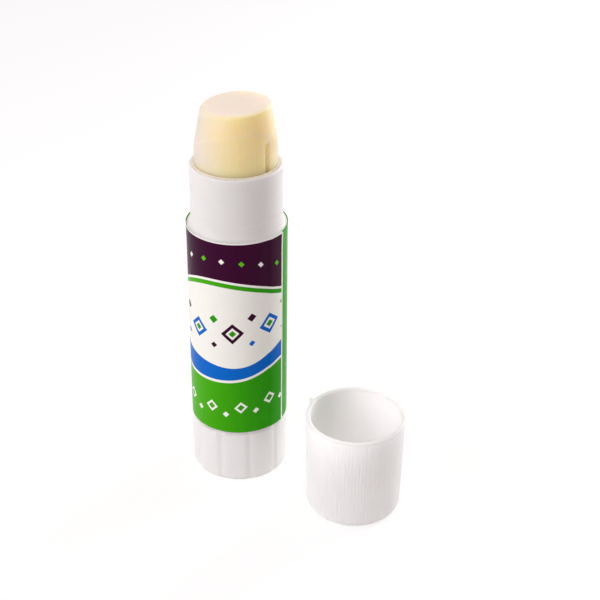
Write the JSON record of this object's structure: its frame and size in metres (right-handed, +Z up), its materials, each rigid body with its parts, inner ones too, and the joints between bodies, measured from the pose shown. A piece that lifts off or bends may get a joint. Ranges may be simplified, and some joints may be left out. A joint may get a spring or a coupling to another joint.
{
  "type": "glue stick",
  "caption": "Twist-up glue stick standing open with its glue wound part of the way out, and its ribbed push-on cap standing beside it.",
  "frame": {"origin": "centre of the twist knob's foot, on the surface that the stick stands on", "axes": "+Z up along the stick's axis, from the knob to the glue; -Y is the front, the side that the picture shows; the loose cap stands towards +X and -Y"},
  "size_m": [0.0507, 0.0407, 0.0941],
  "materials": {
    "barrel_plastic": "smooth moulded white polypropylene, satin",
    "label_film": "printed plastic film in green, white, blue and dark purple, semi-gloss",
    "knob_plastic": "smooth moulded white polypropylene, satin",
    "spindle_plastic": "moulded white acetal, matt",
    "carrier_plastic": "moulded white polypropylene, matt",
    "glue_gel": "firm cream-coloured soap gel, waxy and slightly translucent",
    "cap_plastic": "ribbed moulded white polypropylene, satin, with a smooth rim and inside"
  },
  "bodies": {
    "barrel": {"barrel": "barrel_plastic", "label": "label_film"},
    "knob": {"twist_knob": "knob_plastic", "spindle": "spindle_plastic"},
    "carrier": {"carrier": "carrier_plastic", "glue": "glue_gel"},
    "cap": {"cap": "cap_plastic"}
  },
  "joints": [
    {"name": "knob_turn", "type": "hinge", "parent": "barrel", "child": "knob", "pos_m": [0, 0, 0], "axis": [0, 0, 1], "range_deg": [-810, 3510]},
    {"name": "carrier_slide", "type": "slide", "parent": "barrel", "child": "carrier", "axis": [0, 0, 1], "range_m": [-0.0091, 0.0391]},
    {"name": "cap_lift", "type": "slide", "parent": "barrel", "child": "cap", "axis": [0, 0, 1], "range_m": [0, 0.1]}
  ],
  "couplings": [
    {"joint": "carrier_slide", "follows": "knob_turn", "m_per_rad": 0.00063662}
  ]
}
